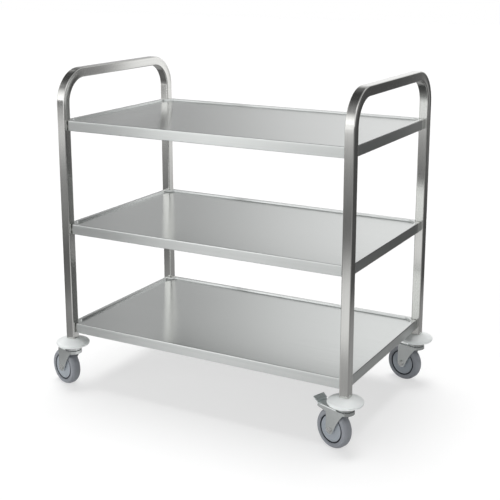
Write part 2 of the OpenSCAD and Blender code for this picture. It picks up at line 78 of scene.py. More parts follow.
def mathNode(tree, operation, first, second, place):
    node = addNode(tree, "ShaderNodeMath", place, operation=operation)
    for socket, value in zip(node.inputs, (first, second)):
        if isinstance(value, (int, float)):
            socket.default_value = value
        else:
            tree.links.new(value, socket)
    return node.outputs[0]


# Polishing grain: long fine streaks along the first axis of the vector that comes in

def makeGrainGroup():
    group, start, end = newGroup(
        "polishGrain",
        [("Vector", "NodeSocketVector", None), ("Along", "NodeSocketFloat", 12.0),
         ("Across", "NodeSocketFloat", 900.0)],
        [("Streaks", "NodeSocketFloat"), ("Bands", "NodeSocketFloat")])
    scale = addNode(group, "ShaderNodeCombineXYZ", (-700, -200))
    group.links.new(start.outputs["Along"], scale.inputs[0])
    group.links.new(start.outputs["Across"], scale.inputs[1])
    group.links.new(start.outputs["Across"], scale.inputs[2])
    stretch = addNode(group, "ShaderNodeVectorMath", (-500, 0), operation="MULTIPLY")
    group.links.new(start.outputs["Vector"], stretch.inputs[0])
    group.links.new(scale.outputs[0], stretch.inputs[1])
    fine = addNode(group, "ShaderNodeTexNoise", (-250, 120))
    fine.inputs["Scale"].default_value = 1.0
    fine.inputs["Detail"].default_value = 3.0
    fine.inputs["Roughness"].default_value = 0.65
    wide = addNode(group, "ShaderNodeTexNoise", (-250, -160))
    wide.inputs["Scale"].default_value = 0.11
    wide.inputs["Detail"].default_value = 2.0
    for noise in (fine, wide):
        group.links.new(stretch.outputs[0], noise.inputs["Vector"])
    group.links.new(fine.outputs["Fac"], end.inputs["Streaks"])
    group.links.new(wide.outputs["Fac"], end.inputs["Bands"])
    return group


# Handling marks: soft cloudy patches with a few sharper smears, between 0 and 1

def makeHandlingGroup():
    group, start, end = newGroup(
        "handlingMarks",
        [("Vector", "NodeSocketVector", None), ("Size", "NodeSocketFloat", 6.0)],
        [("Cloud", "NodeSocketFloat"), ("Smear", "NodeSocketFloat")])
    cloud = addNode(group, "ShaderNodeTexNoise", (-400, 150))
    cloud.inputs["Detail"].default_value = 4.0
    cloud.inputs["Roughness"].default_value = 0.55
    group.links.new(start.outputs["Vector"], cloud.inputs["Vector"])
    group.links.new(start.outputs["Size"], cloud.inputs["Scale"])
    smear = addNode(group, "ShaderNodeTexNoise", (-400, -150))
    smear.inputs["Detail"].default_value = 6.0
    smear.inputs["Distortion"].default_value = 1.2
    group.links.new(start.outputs["Vector"], smear.inputs["Vector"])
    smearSize = mathNode(group, "MULTIPLY", start.outputs["Size"], 3.1, (-600, -150))
    group.links.new(smearSize, smear.inputs["Scale"])
    ramp = addNode(group, "ShaderNodeMapRange", (-100, -150))
    ramp.inputs["From Min"].default_value = 0.52
    ramp.inputs["From Max"].default_value = 0.75
    group.links.new(smear.outputs["Fac"], ramp.inputs["Value"])
    group.links.new(cloud.outputs["Fac"], end.inputs["Cloud"])
    group.links.new(ramp.outputs[0], end.inputs["Smear"])
    return group


grainGroup = makeGrainGroup()
handlingGroup = makeHandlingGroup()


def newMaterial(name):
    material = bpy.data.materials.new(name)
    material.use_nodes = True
    tree = material.node_tree
    return material, tree, tree.nodes["Principled BSDF"]


def mixColors(tree, factor, dark, light, place):
    mix = addNode(tree, "ShaderNodeMix", place, data_type="RGBA")
    tree.links.new(factor, mix.inputs[0])
    mix.inputs[6].default_value = (*dark, 1)
    mix.inputs[7].default_value = (*light, 1)
    return mix.outputs[2]


def rangeNode(tree, value, low, high, place):
    node = addNode(tree, "ShaderNodeMapRange", place)
    node.inputs["To Min"].default_value = low
    node.inputs["To Max"].default_value = high
    tree.links.new(value, node.inputs["Value"])
    return node.outputs[0]


def fillRamp(node, stops):
    ramp = node.color_ramp
    while len(ramp.elements) < len(stops):
        ramp.elements.new(0.5)
    for element, (spot, level) in zip(ramp.elements, stops):
        element.position = spot
        element.color = (level, level, level, 1)


def addBump(tree, shader, height, strength, distance, place):
    bump = addNode(tree, "ShaderNodeBump", place)
    bump.inputs["Strength"].default_value = strength
    bump.inputs["Distance"].default_value = distance
    tree.links.new(height, bump.inputs["Height"])
    tree.links.new(bump.outputs[0], shader.inputs["Normal"])


# Satin stainless steel whose grain runs along the u of the piece's own map

def makeSteel(name, dark, light, rough, anisotropy, along, across, bumpDepth, flatShare=1.0):
    material, tree, shader = newMaterial(name)
    grainMap = addNode(tree, "ShaderNodeUVMap", (-1100, 100), uv_map="grain")
    place = addNode(tree, "ShaderNodeTexCoord", (-1100, -250))
    grain = addNode(tree, "ShaderNodeGroup", (-850, 100), node_tree=grainGroup)
    grain.inputs["Along"].default_value = along
    grain.inputs["Across"].default_value = across
    tree.links.new(grainMap.outputs[0], grain.inputs["Vector"])
    marks = addNode(tree, "ShaderNodeGroup", (-850, -250), node_tree=handlingGroup)
    marks.inputs["Size"].default_value = 5.0
    tree.links.new(place.outputs["Object"], marks.inputs["Vector"])
    bands = mathNode(tree, "MULTIPLY", grain.outputs["Bands"], 0.6, (-600, 200))
    clouds = mathNode(tree, "MULTIPLY", marks.outputs["Cloud"], 0.4, (-600, 0))
    tone = mathNode(tree, "ADD", bands, clouds, (-430, 150))
    tree.links.new(mixColors(tree, tone, dark, light, (-250, 250)), shader.inputs["Base Color"])
    streaks = mathNode(tree, "MULTIPLY", grain.outputs["Streaks"], 0.55, (-600, -200))
    hazes = mathNode(tree, "MULTIPLY", marks.outputs["Cloud"], 0.45, (-600, -380))
    spread = mathNode(tree, "ADD", streaks, hazes, (-430, -250))
    dullness = rangeNode(tree, spread, *rough, (-420, -100))
    facing = addNode(tree, "ShaderNodeSeparateXYZ", (-850, -550))
    tree.links.new(place.outputs["Normal"], facing.inputs[0])
    flat = addNode(tree, "ShaderNodeMapRange", (-600, -550))
    flat.inputs["From Min"].default_value = 0.6
    flat.inputs["To Min"].default_value = 1.0
    flat.inputs["To Max"].default_value = flatShare
    tree.links.new(facing.outputs["Z"], flat.inputs["Value"])
    dullness = mathNode(tree, "MULTIPLY", dullness, flat.outputs[0], (-200, -150))
    tree.links.new(dullness, shader.inputs["Roughness"])
    addBump(tree, shader, grain.outputs["Streaks"], 0.35, bumpDepth, (-250, -450))
    tangent = addNode(tree, "ShaderNodeTangent", (-250, -700), direction_type="UV_MAP", uv_map="grain")
    tree.links.new(tangent.outputs[0], shader.inputs["Tangent"])
    shader.inputs["Metallic"].default_value = 1.0
    shader.inputs["Anisotropic"].default_value = anisotropy
    shader.inputs["Anisotropic Rotation"].default_value = 0.25
    return material


# Bright zinc plate: a fine mottled grey with faint warm passivation and dull smears

def makeZinc(name, dark, light, rough, metalShare=1.0):
    material, tree, shader = newMaterial(name)
    place = addNode(tree, "ShaderNodeTexCoord", (-1000, 0))
    spangle = addNode(tree, "ShaderNodeTexVoronoi", (-750, 200))
    spangle.inputs["Scale"].default_value = 900.0
    tree.links.new(place.outputs["Object"], spangle.inputs["Vector"])
    marks = addNode(tree, "ShaderNodeGroup", (-750, -150), node_tree=handlingGroup)
    marks.inputs["Size"].default_value = 38.0
    tree.links.new(place.outputs["Object"], marks.inputs["Vector"])
    colour = mixColors(tree, marks.outputs["Cloud"], dark, light, (-350, 250))
    tree.links.new(colour, shader.inputs["Base Color"])
    grains = mathNode(tree, "MULTIPLY", spangle.outputs["Distance"], 0.8, (-550, 100))
    smears = mathNode(tree, "MULTIPLY", marks.outputs["Smear"], 0.5, (-550, -100))
    spread = mathNode(tree, "ADD", grains, smears, (-380, 0))
    tree.links.new(rangeNode(tree, spread, *rough, (-200, -50)), shader.inputs["Roughness"])
    addBump(tree, shader, spangle.outputs["Distance"], 0.05, 0.0002, (-350, -350))
    shader.inputs["Metallic"].default_value = metalShare
    return material


# Moulded plastic or rubber: a faint orange peel skin, cloudy colour and a few duller smears

def makeMoulded(name, dark, light, rough, peelScale, peelDepth, specular=0.5):
    material, tree, shader = newMaterial(name)
    place = addNode(tree, "ShaderNodeTexCoord", (-1000, 0))
    peel = addNode(tree, "ShaderNodeTexNoise", (-750, 200))
    peel.inputs["Scale"].default_value = peelScale
    peel.inputs["Detail"].default_value = 3.0
    tree.links.new(place.outputs["Object"], peel.inputs["Vector"])
    marks = addNode(tree, "ShaderNodeGroup", (-750, -150), node_tree=handlingGroup)
    marks.inputs["Size"].default_value = 24.0
    tree.links.new(place.outputs["Object"], marks.inputs["Vector"])
    colour = mixColors(tree, marks.outputs["Cloud"], dark, light, (-350, 250))
    tree.links.new(colour, shader.inputs["Base Color"])
    grains = mathNode(tree, "MULTIPLY", peel.outputs["Fac"], 0.6, (-550, 100))
    smears = mathNode(tree, "MULTIPLY", marks.outputs["Smear"], 0.4, (-550, -100))
    spread = mathNode(tree, "ADD", grains, smears, (-380, 0))
    tree.links.new(rangeNode(tree, spread, *rough, (-200, -50)), shader.inputs["Roughness"])
    addBump(tree, shader, peel.outputs["Fac"], 0.25, peelDepth, (-350, -350))
    shader.inputs["Specular IOR Level"].default_value = specular
    return material


# Colours run from dark to light, and rough from the glossiest spot to the dullest
steelSet = {
    "tubeSteel": {"dark": (0.56, 0.56, 0.545), "light": (0.70, 0.70, 0.68), "rough": (0.10, 0.19),
                  "anisotropy": 0.4, "along": 9.0, "across": 1400.0, "bumpDepth": 0.00001},
    "sheetSteel": {"dark": (0.59, 0.61, 0.603), "light": (0.715, 0.73, 0.72), "rough": (0.25, 0.32),
                   "anisotropy": 0.95, "along": 7.0, "across": 1300.0, "bumpDepth": 0.000004,
                   "flatShare": 0.62},
}
zincSet = {
    "zincPlate": {"dark": (0.53, 0.555, 0.55), "light": (0.63, 0.65, 0.645), "rough": (0.15, 0.25)},
    "treadZinc": {"dark": (0.62, 0.67, 0.67), "light": (0.74, 0.78, 0.78), "rough": (0.4, 0.52),
                  "metalShare": 0.6},
    "stainlessFastener": {"dark": (0.48, 0.48, 0.47), "light": (0.6, 0.6, 0.6), "rough": (0.2, 0.36)},
    "bearingSteel": {"dark": (0.5, 0.5, 0.52), "light": (0.64, 0.64, 0.66), "rough": (0.1, 0.2)},
}
mouldedSet = {
    "bumperPlastic": {"dark": (0.89, 0.92, 0.915), "light": (0.925, 0.95, 0.945), "rough": (0.34, 0.46),
                      "peelScale": 900.0, "peelDepth": 0.00003},
    "tyreRubber": {"dark": (0.28, 0.295, 0.325), "light": (0.335, 0.35, 0.38), "rough": (0.45, 0.62),
                   "peelScale": 1400.0, "peelDepth": 0.00004, "specular": 0.4},
    # Near-black colour for the wheel core's groove faces: painted shade deep in the narrow groove
    "grooveShadePaint": {"dark": (0.07, 0.077, 0.09), "light": (0.1, 0.108, 0.122), "rough": (0.6, 0.8),
                    "peelScale": 900.0, "peelDepth": 0.00004},
    "wheelPlastic": {"dark": (0.355, 0.39, 0.43), "light": (0.41, 0.445, 0.485), "rough": (0.36, 0.5),
                     "peelScale": 1100.0, "peelDepth": 0.00003, "specular": 0.45},
    "plugNylon": {"dark": (0.02, 0.02, 0.02), "light": (0.035, 0.035, 0.035), "rough": (0.45, 0.6),
                  "peelScale": 1200.0, "peelDepth": 0.00003},
    "padRubber": {"dark": (0.03, 0.03, 0.03), "light": (0.05, 0.05, 0.05), "rough": (0.6, 0.8),
                  "peelScale": 1500.0, "peelDepth": 0.00005, "specular": 0.3},
}

tubeSteel, sheetSteel = [makeSteel(name, **values) for name, values in steelSet.items()]
zincPlate, treadZinc, stainless, bearingSteel = [makeZinc(name, **values) for name, values in zincSet.items()]
bumperPlastic, tyreRubber, grooveShadePaint, wheelPlastic, plugNylon, padRubber = [
    makeMoulded(name, **values) for name, values in mouldedSet.items()]
print("materials made")


# Mesh helpers

def vertsOf(edges):
    return list({vert for edge in edges for vert in edge.verts})


def extrudeRing(bm, ring, move=(0, 0, 0)):
    made = bmesh.ops.extrude_edge_only(bm, edges=ring)["geom"]
    fresh = [item for item in made if isinstance(item, bmesh.types.BMVert)]
    bmesh.ops.translate(bm, verts=fresh, vec=move)
    known = set(fresh)
    return [item for item in made if isinstance(item, bmesh.types.BMEdge) and set(item.verts) <= known]


def spinRing(bm, ring, centre, axis, degrees, steps):
    made = bmesh.ops.spin(bm, geom=vertsOf(ring) + ring, cent=centre, axis=axis, dvec=(0, 0, 0),
                          angle=math.radians(degrees), space=Matrix.Identity(4), steps=steps)
    return [item for item in made["geom_last"] if isinstance(item, bmesh.types.BMEdge)]


def bevelVerts(bm, verts, radius, segments):
    bmesh.ops.bevel(bm, geom=verts, offset=radius, offset_type="OFFSET", segments=segments, profile=0.5,
                    affect="VERTICES", material=-1)


def bevelSharpEdges(bm, degrees, radius, segments):
    least = math.radians(degrees)
    sharp = [edge for edge in bm.edges if edge.is_manifold and edge.calc_face_angle(0) > least]
    bmesh.ops.bevel(bm, geom=sharp, offset=radius, offset_type="OFFSET", segments=segments, profile=0.5,
                    affect="EDGES", clamp_overlap=True, material=-1)


def mapGrain(bm, alongPath=None):
    layer = bm.loops.layers.uv.new("grain")
    for face in bm.faces:
        normal = face.normal
        for loop in face.loops:
            spot = loop.vert.co
            if alongPath:
                loop[layer].uv = alongPath(spot, normal)
            elif abs(normal.x) > 0.7:
                loop[layer].uv = (spot.y, spot.z)
            else:
                loop[layer].uv = (spot.x, spot.z if abs(normal.y) > 0.7 else spot.y)


def finishPiece(bm, name, material, body, replaced=(), sharpDegrees=32, inner=None):
    mesh = bpy.data.meshes.new(name)
    bm.to_mesh(mesh)
    bm.free()
    mesh.shade_smooth()
    mesh.set_sharp_from_angle(angle=math.radians(sharpDegrees))
    mesh.materials.append(material)
    if inner:
        mesh.materials.append(inner)
    piece = bpy.data.objects.new(name, mesh)
    scene.collection.objects.link(piece)
    weights = piece.modifiers.new("flatFaces", "WEIGHTED_NORMAL")
    weights.keep_sharp = True
    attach(piece, body)
    if replaced:
        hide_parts(*replaced)
    return piece


def cleanShell(bm):
    bmesh.ops.remove_doubles(bm, verts=bm.verts, dist=1e-6)
    bmesh.ops.recalc_face_normals(bm, faces=bm.faces)


# A closed outline of (radius, height, rounding) corners, spun about Z into a solid of revolution

def spinOutline(bm, outline, steps, roundSteps=4):
    verts = [bm.verts.new((radius, 0, height)) for radius, height, rounding in outline]
    face = bm.faces.new(verts)
    roundings = {}
    for vert, corner in zip(verts, outline):
        if corner[2]:
            roundings.setdefault(corner[2], []).append(vert)
    for rounding, group in roundings.items():
        bevelVerts(bm, group, rounding, roundSteps)
    bmesh.ops.delete(bm, geom=bm.faces[:], context="FACES_ONLY")
    ring = bm.edges[:]
    bmesh.ops.spin(bm, geom=vertsOf(ring) + ring, cent=(0, 0, 0), axis=(0, 0, 1), dvec=(0, 0, 0),
                   angle=2 * math.pi, space=Matrix.Identity(4), steps=steps, use_merge=True)
    cleanShell(bm)


# A wheel's own axes: Z is its axle and Y is up

def wheelAxes(corner):
    roll = joints[f"{corner}_roll"]
    axle = Vector(roll["axis"]).normalized()
    up = Vector((0, 0, 1))
    turn = Matrix((up.cross(axle) * -1, up, axle)).transposed().to_4x4()
    return Matrix.Translation(roll["pos_m"]) @ turn


# End frames: one bent square tube each

tubeSet = {
    "side": 0.025, "cornerRadius": 0.003, "cornerSteps": 5, "faceCuts": 7,
    "bendRadius": 0.09, "bendSteps": 28, "nearBend": 0.1, "nearSteps": 10,
    "pinch": 0.0007, "pinchAt": 0.045, "pinchBefore": 0.12, "pinchAfter": 0.08,
}


# Bending draws the tube's two flat walls in a little, most of all on the first part of the bend

def pinchWalls(bm, middle, high):
    half = tubeSet["side"] / 2
    flat = half - tubeSet["cornerRadius"]
    bend = tubeSet["bendRadius"]
    for vert in bm.verts:
        if abs(vert.co.x - middle) < half - 1e-5:
            continue
        below = vert.co.z - (high.z - bend)
        past = abs(vert.co.y) - (high.y - bend)
        if below < 0:
            run, off = below, abs(vert.co.y) - (high.y - half)
        elif past > 0:
            run = math.atan2(below, past) * (bend - half)
            off = math.hypot(below, past) - (bend - half)
        else:
            run, off = math.pi / 2 * (bend - half) - past, vert.co.z - (high.z - half)
        away = run - tubeSet["pinchAt"]
        reach = tubeSet["pinchBefore"] if away < 0 else tubeSet["pinchAfter"]
        share = math.cos(math.pi / 2 * min(1, abs(away) / reach)) ** 2 * max(0, 1 - (off / flat) ** 2)
        vert.co.x -= math.copysign(tubeSet["pinch"] * share, vert.co.x - middle)


def buildEndFrame(node):
    low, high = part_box(node)
    half = tubeSet["side"] / 2
    bend = tubeSet["bendRadius"]
    middle = (low.x + high.x) / 2
    bm = bmesh.new()
    bmesh.ops.create_grid(bm, x_segments=1, y_segments=1, size=half)
    bevelVerts(bm, bm.verts[:], tubeSet["cornerRadius"], tubeSet["cornerSteps"])
    bmesh.ops.delete(bm, geom=bm.faces[:], context="FACES_ONLY")
    walls = [edge for edge in bm.edges
             if edge.calc_length() > half and abs(edge.verts[0].co.x - edge.verts[1].co.x) < 1e-6]
    bmesh.ops.subdivide_edges(bm, edges=walls, cuts=tubeSet["faceCuts"])
    bmesh.ops.translate(bm, verts=bm.verts, vec=(middle, low.y + half, low.z))
    foot = bm.edges[:]
    straight = high.z - bend - low.z
    near, steps = tubeSet["nearBend"], tubeSet["nearSteps"]
    ring = extrudeRing(bm, foot, (0, 0, straight - near))
    for step in range(steps):
        ring = extrudeRing(bm, ring, (0, 0, near / steps))
    ring = spinRing(bm, ring, (middle, low.y + bend, high.z - bend), (-1, 0, 0), 90, tubeSet["bendSteps"])
    ring = extrudeRing(bm, ring, (0, high.y - low.y - 2 * bend, 0))
    ring = spinRing(bm, ring, (middle, high.y - bend, high.z - bend), (-1, 0, 0), 90, tubeSet["bendSteps"])
    for step in range(steps):
        ring = extrudeRing(bm, ring, (0, 0, -near / steps))
    farFoot = extrudeRing(bm, ring, (0, 0, near - straight))
    for end in (foot, farFoot):
        bmesh.ops.edgeloop_fill(bm, edges=[edge for edge in end if edge.is_valid])
    cleanShell(bm)
    pinchWalls(bm, middle, high)
    bm.normal_update()

    def alongTube(spot, normal):
        side = -1 if spot.y < 0 else 1
        bendY = side * (high.y - bend)
        if spot.z < high.z - bend:
            run = spot.z - low.z
        elif abs(spot.y) > high.y - bend:
            turn = math.atan2(spot.z - high.z + bend, abs(spot.y - bendY))
            run = straight + turn * (bend - half)
        else:
            run = straight + math.pi / 2 * (bend - half) + high.y - bend - abs(spot.y)
        across = spot.x if abs(normal.x) < 0.7 else math.hypot(spot.y, spot.z) + 1
        return side * run, across

    mapGrain(bm, alongTube)
    finishPiece(bm, f"{node}_tube", tubeSteel, "frame", [node])


for node in ("left_end_frame", "right_end_frame"):
    buildEndFrame(node)
print("end frames made")


# Shelves: one folded sheet each, with a sunk deck, a bent edge all round and a notch for each leg

shelfSet = {
    "notch": 0.017,
    "bendArcs": [(0.0012, 70, 5), (0.0095, 20, 6)],
    "hemSteps": 5,
    "cornerRadius": 0.0038,
    "cornerSteps": 4,
    "flatRun": 0.0003,
    "rimWidth": 0.0098,
    "notchRim": 0.004,
    "deckDrop": 0.005,
    "slopeWidth": 0.0012,
    "slopeSteps": 6,
    "deckCornerRadius": 0.008,
    "deckCornerSteps": 5,
    "hemWidth": 0.011,
    "hemRadius": 0.0015,
    "sheet": 0.001,
}


def shiftInward(bm, ring, centre, inset, drop):
    made = extrudeRing(bm, ring)
    for vert in vertsOf(made):
        vert.co.x -= math.copysign(1, vert.co.x - centre.x) * inset
        vert.co.y -= math.copysign(1, vert.co.y - centre.y) * inset
        vert.co.z -= drop
    return made


def shelfOutline(low, high, notch):
    centre = (low + high) / 2
    halfX = (high.x - low.x) / 2
    halfY = (high.y - low.y) / 2
    quarter = [(halfX, halfY - notch), (halfX - notch, halfY - notch), (halfX - notch, halfY)]
    points = []
    for signX, signY in ((1, 1), (-1, 1), (-1, -1), (1, -1)):
        part = [(centre.x + signX * x, centre.y + signY * y, high.z) for x, y in quarter]
        points += part if signX * signY > 0 else part[::-1]
    return points


def buildDeck(bm, low, high):
    rim = shelfSet["rimWidth"]
    notchCut = 2 * shelfSet["notch"] + shelfSet["notchRim"] * math.sqrt(2) - 2 * rim
    centre = (low + high) / 2
    made = bmesh.ops.create_grid(bm, x_segments=1, y_segments=1, size=0.5)["verts"]
    bmesh.ops.scale(bm, verts=made, vec=(high.x - low.x - 2 * rim, high.y - low.y - 2 * rim, 1))
    bmesh.ops.translate(bm, verts=made, vec=(centre.x, centre.y, high.z))
    before = set(bm.verts) - set(made)
    bevelVerts(bm, made, notchCut, 1)
    deckCorners = [vert for vert in bm.verts if vert not in before]
    bevelVerts(bm, deckCorners, shelfSet["deckCornerRadius"], shelfSet["deckCornerSteps"])
    face = next(face for face in bm.faces if not before & set(face.verts))
    bmesh.ops.inset_region(bm, faces=[face], thickness=shelfSet["flatRun"], use_boundary=True,
                           use_even_offset=True)
    edge = [edge for edge in bm.edges if edge.is_boundary and not before & set(edge.verts)]
    steps = shelfSet["slopeSteps"]
    for step in range(steps):
        depth = 0.5 * (math.cos(math.pi * step / steps) - math.cos(math.pi * (step + 1) / steps))
        bmesh.ops.inset_region(bm, faces=[face], thickness=shelfSet["slopeWidth"] / steps, use_boundary=True,
                               use_even_offset=True)
        bmesh.ops.translate(bm, verts=list(face.verts), vec=(0, 0, -depth * shelfSet["deckDrop"]))
    return edge


def buildShelf(node):
    low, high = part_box(node)
    centre = (low + high) / 2
    bends = []
    turned = 0
    for radius, turn, count in shelfSet["bendArcs"]:
        for step in range(count):
            first, last = (math.radians(turned + turn * (step + k) / count) for k in (0, 1))
            bends.append((radius * (math.sin(last) - math.sin(first)),
                          radius * (math.cos(first) - math.cos(last))))
        turned += turn
    bendIn, bendDown = (sum(step[k] for step in bends) for k in (0, 1))
    hem = shelfSet["hemRadius"]
    steps = shelfSet["hemSteps"]
    bm = bmesh.new()
    verts = [bm.verts.new(point) for point in shelfOutline(low, high, shelfSet["notch"])]
    bm.faces.new(verts)
    bevelVerts(bm, verts, shelfSet["cornerRadius"], shelfSet["cornerSteps"])
    bmesh.ops.delete(bm, geom=bm.faces[:], context="FACES_ONLY")
    flat = shelfSet["flatRun"]
    for vert in bm.verts:
        vert.co.x -= math.copysign(bendIn + flat, vert.co.x - centre.x)
        vert.co.y -= math.copysign(bendIn + flat, vert.co.y - centre.y)
    outer = bm.edges[:]
    ring = shiftInward(bm, outer, centre, -flat, 0)
    for inward, down in bends:
        ring = shiftInward(bm, ring, centre, -inward, down)
    ring = shiftInward(bm, ring, centre, 0, high.z - low.z - bendDown - hem)
    for step in range(steps):
        first, last = (math.pi / 2 * (step + k) / steps for k in (0, 1))
        ring = shiftInward(bm, ring, centre, hem * (math.cos(first) - math.cos(last)),
                           hem * (math.sin(last) - math.sin(first)))
    shiftInward(bm, ring, centre, shelfSet["hemWidth"] - hem, 0)
    inner = buildDeck(bm, low, high)
    bmesh.ops.triangle_fill(bm, use_beauty=True, edges=outer + inner, normal=(0, 0, 1))
    cleanShell(bm)
    if sum(face.normal.z * face.calc_area() for face in bm.faces) < 0:
        bmesh.ops.reverse_faces(bm, faces=bm.faces)
    bmesh.ops.solidify(bm, geom=bm.faces[:], thickness=shelfSet["sheet"])
    bm.normal_update()
    mapGrain(bm)
    finishPiece(bm, f"{node}_sheet", sheetSteel, "frame", [node], 40)


for node in shelves:
    buildShelf(node)
print("shelves made")


# Bumpers: soft white discs with a domed top and a thin round lip

bumperSet = {
    "topRadius": 0.0185, "lipRadius": 0.0055, "bore": 0.00605, "recess": 0.001, "recessRadius": 0.016,
    "footRadius": 0.018, "footRounding": 0.0008, "lipSteps": 8, "domeSteps": 12, "spinSteps": 96,
}


def buildBumper(corner):
    node = f"{corner}_bumper"
    low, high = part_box(node)
    height = high.z - low.z
    lip = bumperSet["lipRadius"]
    shoulder = (high.x - low.x) / 2 - lip
    top = bumperSet["topRadius"]
    spread = shoulder ** 2 - top ** 2
    domeZ = (height + 2 * lip - spread / (height - 2 * lip)) / 2
    domeRadius = math.hypot(top, height - domeZ)
    first = math.atan2(height - domeZ, top)
    last = math.atan2(2 * lip - domeZ, shoulder)
    recess = bumperSet["recess"]
    outline = [(bumperSet["bore"], recess, 0), (bumperSet["recessRadius"], recess, 0),
               (bumperSet["footRadius"], 0, bumperSet["footRounding"]), (shoulder, 0, 0)]
    for step in range(1, bumperSet["lipSteps"]):
        angle = -math.pi / 2 + math.pi * step / bumperSet["lipSteps"]
        outline.append((shoulder + lip * math.cos(angle), lip + lip * math.sin(angle), 0))
    for step in range(bumperSet["domeSteps"] + 1):
        angle = last + (first - last) * step / bumperSet["domeSteps"]
        outline.append((domeRadius * math.cos(angle), domeZ + domeRadius * math.sin(angle), 0))
    outline += [(bumperSet["bore"], height, 0)]
    bm = bmesh.new()
    spinOutline(bm, outline, bumperSet["spinSteps"])
    bmesh.ops.translate(bm, verts=bm.verts, vec=((low.x + high.x) / 2, (low.y + high.y) / 2, low.z))
    finishPiece(bm, f"{node}_disc", bumperPlastic, "frame", [node], 50)


# Wheels: a moulded core with a ring groove painted dark as shade, and a rounded tyre round it

wheelSet = {
    "bore": 0.00605, "hubRadius": 0.012, "hubHalf": 0.015, "discHalf": 0.0125, "discRadius": 0.0325,
    "seatRadius": 0.03695, "seatWall": 0.001, "grooveDepth": 0.007, "dish": 0.0008, "spinSteps": 96,
}
tyreSet = {
    "seatRadius": 0.037, "half": 0.0135, "radius": 0.05,
    "crownRadius": 0.0195, "flat": 0.0055, "crownSteps": 7,
}


def buildWheel(corner):
    half = wheelSet["discHalf"]
    disc = wheelSet["discRadius"]
    hub = wheelSet["hubRadius"]
    seat = wheelSet["seatRadius"]
    floor = half - wheelSet["grooveDepth"]
    dish = wheelSet["dish"]
    side = [(seat, half, 0.0005), (seat - 0.0008, half, 0.0003), (seat - wheelSet["seatWall"], floor, 0.0008),
            (disc, floor, 0.0008), (disc, half, 0.0009), (disc - 0.003, half, 0.0006),
            (disc - 0.0045, half - dish, 0.0006), (hub + 0.0025, half - dish, 0.0006), (hub, half, 0.0005),
            (hub, wheelSet["hubHalf"], 0.0006), (wheelSet["bore"], wheelSet["hubHalf"], 0.0003)]
    outline = side + [(radius, -height, rounding) for radius, height, rounding in side[::-1]]
    bm = bmesh.new()
    spinOutline(bm, outline, wheelSet["spinSteps"])
    # Faces deep in the ring groove take the second material, which is painted shade
    for face in bm.faces:
        spot = face.calc_center_median()
        if disc - 0.0001 < spot.xy.length < seat - 0.0001 and abs(spot.z) < half - 0.0009:
            face.material_index = 1
    bmesh.ops.transform(bm, matrix=wheelAxes(corner), verts=bm.verts)
    finishPiece(bm, f"{corner}_wheel_core", wheelPlastic, f"{corner}_road_wheel",
                [f"{corner}_wheel"], inner=grooveShadePaint)


def buildTyre(corner):
    crown = tyreSet["crownRadius"]
    flat = tyreSet["flat"]
    crownX = tyreSet["radius"] - math.sqrt(crown ** 2 - flat ** 2)
    wall = crownX + math.sqrt(crown ** 2 - tyreSet["half"] ** 2)
    first = math.asin(flat / crown)
    last = math.asin(tyreSet["half"] / crown)
    side = [(tyreSet["radius"], flat, 0)]
    for step in range(1, tyreSet["crownSteps"]):
        angle = first + (last - first) * step / tyreSet["crownSteps"]
        side.append((crownX + crown * math.cos(angle), crown * math.sin(angle), 0))
    side += [(wall, tyreSet["half"], 0.0012), (tyreSet["seatRadius"], tyreSet["half"], 0.0006)]
    outline = side + [(radius, -height, rounding) for radius, height, rounding in side[::-1]]
    bm = bmesh.new()
    spinOutline(bm, outline, wheelSet["spinSteps"])
    bmesh.ops.transform(bm, matrix=wheelAxes(corner), verts=bm.verts)
    finishPiece(bm, f"{corner}_tyre_ring", tyreRubber, f"{corner}_road_wheel",
                [f"{corner}_tyre"])


# Hexagons of the axle's head and nut: the corners of the outer face are cut back

hexSet = {"leastRadius": 0.0066, "faceBand": 0.0001, "chamfer": 0.0017}


def chamferHex(bm, corner):
    toWheel = wheelAxes(corner).inverted()
    spots = {vert: toWheel @ vert.co for vert in bm.verts}
    rims = {vert: abs(spot.z) for vert, spot in spots.items() if spot.xy.length > hexSet["leastRadius"]}
    far = max(rims.values())
    tips = [vert for vert, reach in rims.items() if reach > far - hexSet["faceBand"]]
    bevelVerts(bm, tips, hexSet["chamfer"], 1)


# Pressed and turned metal parts: the part's own solid with its edges broken

solidSet = {"sameSpot": 2e-6, "flatDegrees": 0.5}


def softenNode(node, material, body, radius, segments=2, degrees=24, hexCorner=None):
    bm = bmesh.new()
    bm.from_mesh(nodes[node].data)
    bmesh.ops.remove_doubles(bm, verts=bm.verts, dist=solidSet["sameSpot"])
    bmesh.ops.dissolve_limit(bm, angle_limit=math.radians(solidSet["flatDegrees"]), verts=bm.verts,
                             edges=bm.edges, use_dissolve_boundaries=False)
    if hexCorner:
        chamferHex(bm, hexCorner)
    bevelSharpEdges(bm, degrees, radius, segments)
    finishPiece(bm, f"{node}_part", material, body, [node])


for corner in corners:
    head = f"{corner}_caster_head"
    buildBumper(corner)
    buildWheel(corner)
    buildTyre(corner)
    softenNode(f"{corner}_fork", zincPlate, head, 0.0004)
    softenNode(f"{corner}_race", zincPlate, "frame", 0.0006)
    softenNode(f"{corner}_axle", stainless, head, 0.0005, 3, 24, corner)
    softenNode(f"{corner}_nut", stainless, head, 0.0005, 3, 24, corner)
for corner in brakedCorners:
    softenNode(f"{corner}_pedal", treadZinc, f"{corner}_brake_lever", 0.0002)
    softenNode(f"{corner}_pad", padRubber, f"{corner}_brake_lever", 0.0003)
    softenNode(f"{corner}_pin", zincPlate, f"{corner}_caster_head", 0.0003)
softenNode("shelf_bolts", stainless, "frame", 0.0005)
softenNode("shelf_washers", stainless, "frame", 0.0002)
softenNode("rivet_nuts", stainless, "frame", 0.0002)
softenNode("stem_bolts", zincPlate, "frame", 0.0004)
softenNode("leg_plugs", plugNylon, "frame", 0.0004)
for corner in corners:
    for kind, material in (("balls", bearingSteel), ("sleeve", bearingSteel)):
        mesh = nodes[f"{corner}_{kind}"].data
        mesh.materials.clear()
        mesh.materials.append(material)
print("casters and fasteners made")


